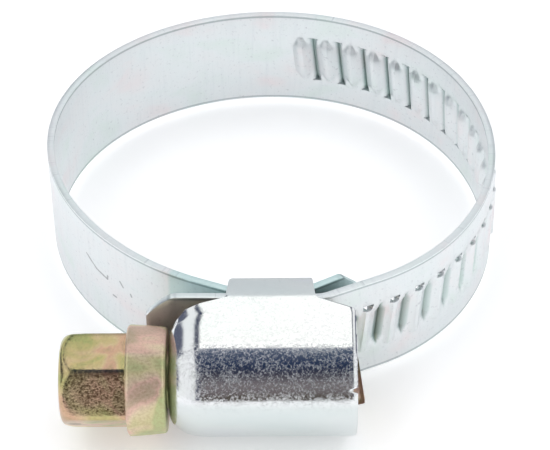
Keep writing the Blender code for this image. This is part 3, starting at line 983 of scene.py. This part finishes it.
def section_points():
    """The strap's outer side seen along the screw, as (y, z) places from the base's middle."""
    first = tangent_angle()
    corner_rear = Vector((BASE_Y, FOLD_HEIGHT))
    corner_front = Vector((FOLD_FRONT_Y, FOLD_HEIGHT))
    touch = Vector((SCREW_Y + HUMP_RADIUS * cos(first), HUMP_RADIUS * sin(first)))
    upper = [Vector((BASE_Y, FOLD_HEIGHT * k / BASE_STEPS)) for k in range(BASE_STEPS)]
    upper += rounded_corner(
        Vector((BASE_Y, 0)), corner_rear, corner_front, SECTION_FOLD_RADIUS, FOLD_STEPS
    )
    upper += rounded_corner(corner_rear, corner_front, touch, SLOPE_START_RADIUS, SLOPE_START_STEPS)
    last = upper[-1]
    upper += [last.lerp(touch, k / SLOPE_STEPS) for k in range(1, SLOPE_STEPS)]
    for k in range(HUMP_STEPS + 1):
        angle = first + (pi - first) * k / HUMP_STEPS
        upper.append(Vector((SCREW_Y + HUMP_RADIUS * cos(angle), HUMP_RADIUS * sin(angle))))
    points = upper + [Vector((p.x, -p.y)) for p in reversed(upper[:-1])]
    return points[:-1] if (points[0] - points[-1]).length < WELD_DISTANCE / 2 else points


def tab_half(y, top, flare):
    """Half the tab's width: rounded corners at the fold, then a slight flare toward the hump."""
    corner = max(0, min(1, (BASE_Y - TAB_CORNER_INSET - y) / TAB_CORNER_LENGTH))
    along = (BASE_Y - y) / (BASE_Y - FOLD_FRONT_Y)
    rounded = sqrt(max(0, 1 - (1 - corner) ** 2))
    return TAB_NARROW + (top - TAB_NARROW) * rounded + flare * along * along


def right_limit(y):
    """Where the sheet's right edge lies: the tab, then a short straight shoulder."""
    if y > FOLD_FRONT_Y:
        return tab_half(y, TAB_RIGHT, TAB_RIGHT_FLARE)
    share = min(1, (FOLD_FRONT_Y - y) / SHOULDER_RIGHT_LENGTH)
    return SHOULDER_RIGHT_X + (HUMP_RIGHT_X - SHOULDER_RIGHT_X) * share


def left_limit(y):
    """Where the sheet's left edge lies: the tab, then a convex shoulder to the drawn-in end."""
    if y > FOLD_FRONT_Y:
        return -tab_half(y, TAB_LEFT, TAB_LEFT_FLARE)
    share = min(1, (FOLD_FRONT_Y - y) / SHOULDER_LEFT_LENGTH)
    grown = (1 - (1 - share) ** SHOULDER_CONVEXITY) * (1 - exp(-share / SHOULDER_LEFT_START))
    return SHOULDER_LEFT_X + (HUMP_LEFT_X - SHOULDER_LEFT_X) * grown


def end_turn(y):
    """How much of a quarter turn the drawn-in left end makes there."""
    share = min(1, max(0, (FOLD_FRONT_Y - END_TURN_INSET - y) / END_TURN_LENGTH))
    return pi / 2 * share * share * (3 - 2 * share)


def sheet_row(point, inward, notched):
    """One section point's row from the rolled right edge to the drawn-in left end, as places."""
    right, left, turn = right_limit(point.x), left_limit(point.x), end_turn(point.x)
    straight_end = left + END_LENGTH * sin(turn) ** (2 / END_SQUARENESS)
    if notched:
        right -= NOTCH_DEPTH
    rolled = min(1, max(0, (FOLD_FRONT_Y - point.x) / RIM_FADE_LENGTH))
    reached = []
    for step in range(RIM_STEPS, 0, -1):
        angle = RIM_TURN * step / RIM_STEPS
        x = right - RIM_RADIUS * (sin(RIM_TURN) - sin(angle))
        reached.append((x, rolled * RIM_RADIUS * (1 - cos(angle))))
    right -= RIM_RADIUS * sin(RIM_TURN)
    for step in range(LENGTH_STEPS + 1):
        reached.append((right + (straight_end - right) * step / LENGTH_STEPS, 0))
    for step in range(1, END_STEPS + 1):
        angle = turn * step / END_STEPS
        x = straight_end - END_LENGTH * sin(angle) ** (2 / END_SQUARENESS)
        reached.append((x, END_ROUND * (1 - max(0, cos(angle)) ** (2 / END_SQUARENESS))))
    return [(x, point.x + inward.x * drawn, point.y + inward.y * drawn) for x, drawn in reached]


def housing_sheet():
    """The strap's outer side as an open sheet, closed round the band and screw."""
    mesh = bmesh.new()
    points = section_points()
    total = len(points)
    rows = []
    for k, point in enumerate(points):
        before, after = points[(k - 1) % total], points[(k + 1) % total]
        along = (after - before).normalized()
        inward = Vector((-along.y, along.x))
        if (Vector((SCREW_Y, 0)) - point).dot(inward) < 0:
            inward = -inward
        row = sheet_row(point, inward, NOTCH_FROM < k < NOTCH_TO)
        rows.append([mesh.verts.new(place) for place in row])
    for k in range(total):
        before, after = rows[k], rows[(k + 1) % total]
        for j in range(len(before) - 1):
            mesh.faces.new((before[j], before[j + 1], after[j + 1], after[j]))
    bmesh.ops.remove_doubles(mesh, verts=mesh.verts, dist=WELD_DISTANCE / 2)
    bmesh.ops.recalc_face_normals(mesh, faces=mesh.faces)
    return mesh


def housing_piece(material):
    """The housing: its outer sheet, thickened inward."""
    sheet = object_from("housing_sheet", housing_sheet(), material, HOUSING_SHARP)
    face = max(sheet.data.polygons, key=lambda polygon: -polygon.center.y)
    outward = (face.center - Vector((0, SCREW_Y, 0))).dot(face.normal) > 0
    thicken(sheet, SHEET, -1 if outward else 1, HOUSING_BEVEL, 3)
    mesh = applied(sheet, "housing_shell")
    obj = placed("housing_shell", mesh)
    mesh.shade_smooth()
    mesh.set_sharp_from_angle(angle=radians(HOUSING_SHARP))
    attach(obj, "housing_and_plain_end")
    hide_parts("housing")


# ---------------------------------------------------------------- the set

FLOOR_SIZE = 6
FLOOR_GAP = 0.02 * MM
FLOOR_GLOW = 0.27
PANEL = (1.05, 1.06, 1.07)
CAMERA_PLACE = (0.001466, -0.144230, 0.116914)
CAMERA_TILT = radians(49.8665)
CAMERA_LEAN = radians(0.6427)
CAMERA_LENS = 141.42
CAMERA_SENSOR = 36
CAMERA_CLIP = 5 * MM
LIGHT_PLACE = Vector((0, 0.05, 0.6))
LIGHT_SIZE = 1.2
LIGHT_POWER = 2.85


def set_floor():
    """A pale sheet of paper just under the clamp, lit a little from within so that it stays white."""
    place = (0, 0, -FOLD_HEIGHT - FLOOR_GAP)
    bpy.ops.mesh.primitive_plane_add(size=FLOOR_SIZE, location=place)
    floor = bpy.context.object
    floor.name = "floor"
    n = Finish("floor paper")
    grain = n.noise(n.place(), 40, 2)
    n.set("Base Color", n.ramp(grain, [(0.3, (0.93, 0.93, 0.93)), (0.7, (0.95, 0.95, 0.95))]))
    n.set("Roughness", 0.9)
    n.set("Emission Color", (1, 1, 1))
    n.set("Emission Strength", FLOOR_GLOW)
    floor.data.materials.append(n.material)


def set_world():
    """Soft studio surroundings: a bright overhead, a pale back, a dim front and a panel on each side."""
    world = bpy.data.worlds.new("studio")
    bpy.context.scene.world = world
    world.use_nodes = True
    n = Nodes(world.node_tree)
    x, y, z = n.axes(n.add("ShaderNodeTexCoord").outputs["Generated"])
    from_front = n.math("ARCTAN2", z, n.math("MULTIPLY", y, -1.0))
    over = n.ramp(
        n.math("DIVIDE", from_front, pi),
        [
            (0.0, (0.10, 0.085, 0.075)),
            (0.06, (0.13, 0.11, 0.10)),
            (0.10, (0.19, 0.165, 0.17)),
            (0.18, (0.21, 0.185, 0.195)),
            (0.30, (0.05, 0.05, 0.075)),
            (0.40, (0.022, 0.036, 0.085)),
            (0.592, (0.11, 0.14, 0.21)),
            (0.622, (1.5, 1.5, 1.45)),
            (0.70, (1.25, 1.25, 1.25)),
            (0.77, (0.72, 0.76, 0.79)),
            (1.0, (0.75, 0.77, 0.79)),
        ],
    )
    sideways = n.math("ABSOLUTE", x)
    beside = n.ramp(
        sideways,
        [
            (0.30, (0.07, 0.08, 0.13)),
            (0.35, PANEL),
            (0.88, PANEL),
            (0.93, (0.14, 0.14, 0.19)),
        ],
    )
    around = n.mix(n.range(sideways, 0.17, 0.21), over, beside)
    rear_corner = n.math("MULTIPLY", n.range(sideways, 0.62, 0.68), n.range(y, 0.22, 0.32))
    shaded = n.mix(rear_corner, around, (0.13, 0.14, 0.20))
    n.link(shaded, n.tree.nodes["Background"].inputs["Color"])


def set_light():
    """One broad soft light overhead that the metal doesn't mirror."""
    light = bpy.data.lights.new("overhead", "AREA")
    light.shape = "RECTANGLE"
    light.size, light.size_y = LIGHT_SIZE, LIGHT_SIZE
    light.energy = LIGHT_POWER
    obj = placed("overhead", light)
    obj.location = LIGHT_PLACE
    obj.rotation_euler = (-LIGHT_PLACE).to_track_quat("-Z", "Y").to_euler()
    obj.visible_glossy = False


def set_camera():
    camera = bpy.data.cameras.new("camera")
    camera.lens = CAMERA_LENS
    camera.sensor_width = CAMERA_SENSOR
    camera.clip_start = CAMERA_CLIP
    obj = placed("camera", camera)
    obj.location = CAMERA_PLACE
    obj.rotation_euler = Euler((CAMERA_TILT, CAMERA_LEAN, 0), "XYZ")
    bpy.context.scene.camera = obj


def main():
    bpy.context.scene.view_settings.view_transform = "Standard"
    line = BandLine()
    band_pieces(line, band_finish())
    screw_pieces(screw_finish())
    housing_piece(housing_finish())
    set_floor()
    set_world()
    set_light()
    set_camera()


main()
